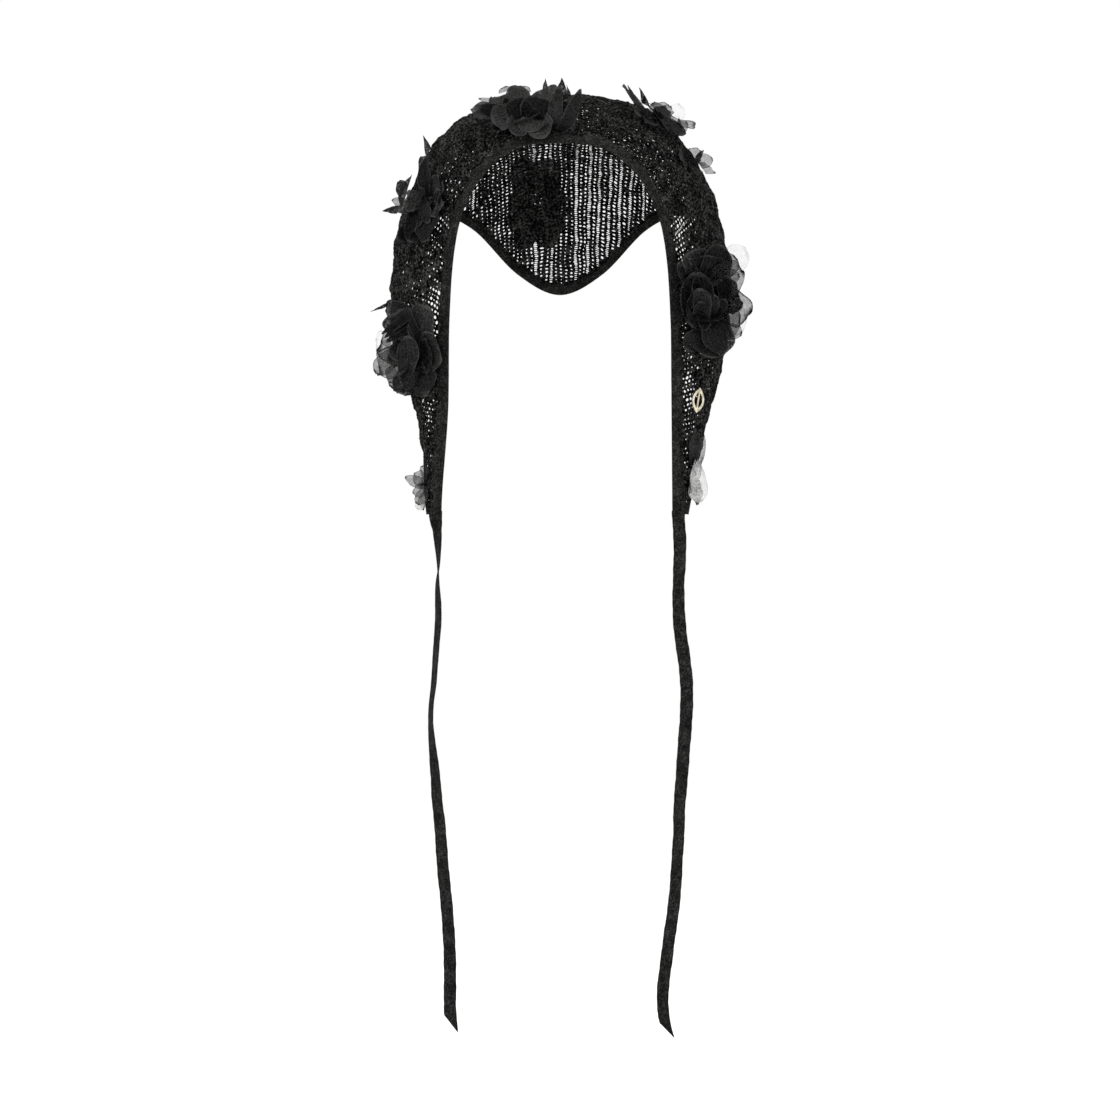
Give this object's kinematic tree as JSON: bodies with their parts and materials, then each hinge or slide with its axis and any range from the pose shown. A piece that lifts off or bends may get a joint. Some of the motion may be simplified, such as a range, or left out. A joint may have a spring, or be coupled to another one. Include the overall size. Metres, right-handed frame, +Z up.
{
  "type": "lace bonnet",
  "caption": "Kerchief-shaped open-work net bonnet bound with woven tape, with long chin ties and chiffon flowers; it covers the crown and sides of the head.",
  "frame": {"origin": "inside of the crown's top, on the middle line, where the top of the head meets the net", "axes": "+Z up, front of the face opening towards -Y, +X to the right as seen from the front; metres"},
  "size_m": [0.2741, 0.1968, 0.6968],
  "materials": {
    "net": "black open-work net, matt",
    "tape": "black woven tape, matt with a fine twill",
    "chiffon": "black sheer chiffon and organza",
    "metal": "pale gold, polished"
  },
  "bodies": {
    "root": {"hood_net": "net", "front_binding": "tape", "neck_binding": "tape", "left_tie": "tape", "right_tie": "tape", "crown_flower_left": "chiffon", "crown_flower_right": "chiffon", "temple_flower_left": "chiffon", "temple_petals_right": "chiffon", "cheek_flower_left": "chiffon", "cheek_flower_right": "chiffon", "corner_petals_left": "chiffon", "corner_petals_right": "chiffon", "nape_flower": "chiffon", "metal_leaf": "metal"}
  },
  "joints": []
}
